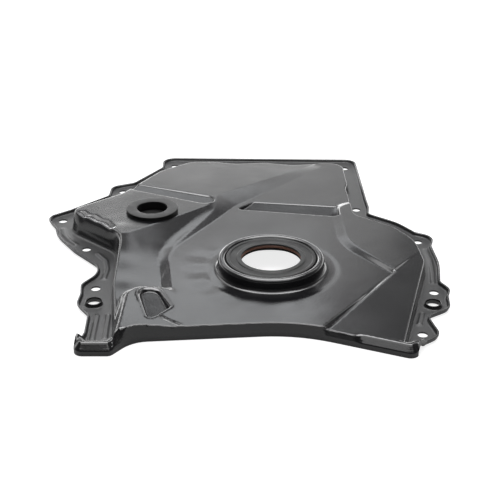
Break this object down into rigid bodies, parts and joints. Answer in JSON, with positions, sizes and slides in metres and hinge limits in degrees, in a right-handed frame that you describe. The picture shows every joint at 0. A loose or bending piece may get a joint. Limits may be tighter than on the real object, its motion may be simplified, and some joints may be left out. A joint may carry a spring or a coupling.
{
  "type": "timing cover",
  "caption": "Pressed black-coated sheet steel timing chain cover with flat bolting flange, drawn chain chamber, crankshaft seal in a collar and a round sealing plug",
  "frame": {"origin": "centre of the cover's outline, on the plane of the block face that the flange lies on", "axes": "+Z away from the engine block, through the outer face; +Y up the engine, towards the cylinder head; +X to the right as seen from outside with the sump edge nearest"},
  "size_m": [0.308, 0.3482, 0.0209],
  "materials": {
    "black_coated_steel": "smooth semi-gloss black electrocoat",
    "seal_rubber": "moulded black seal rubber, satin",
    "lip_plastic": "brown low-friction lip plastic, matt",
    "plug_rubber": "moulded black rubber, satin"
  },
  "bodies": {
    "root": {"cover_plate": "black_coated_steel", "crank_seal_ring": "seal_rubber", "crank_seal_lip": "lip_plastic", "sealing_plug": "plug_rubber"}
  },
  "joints": []
}
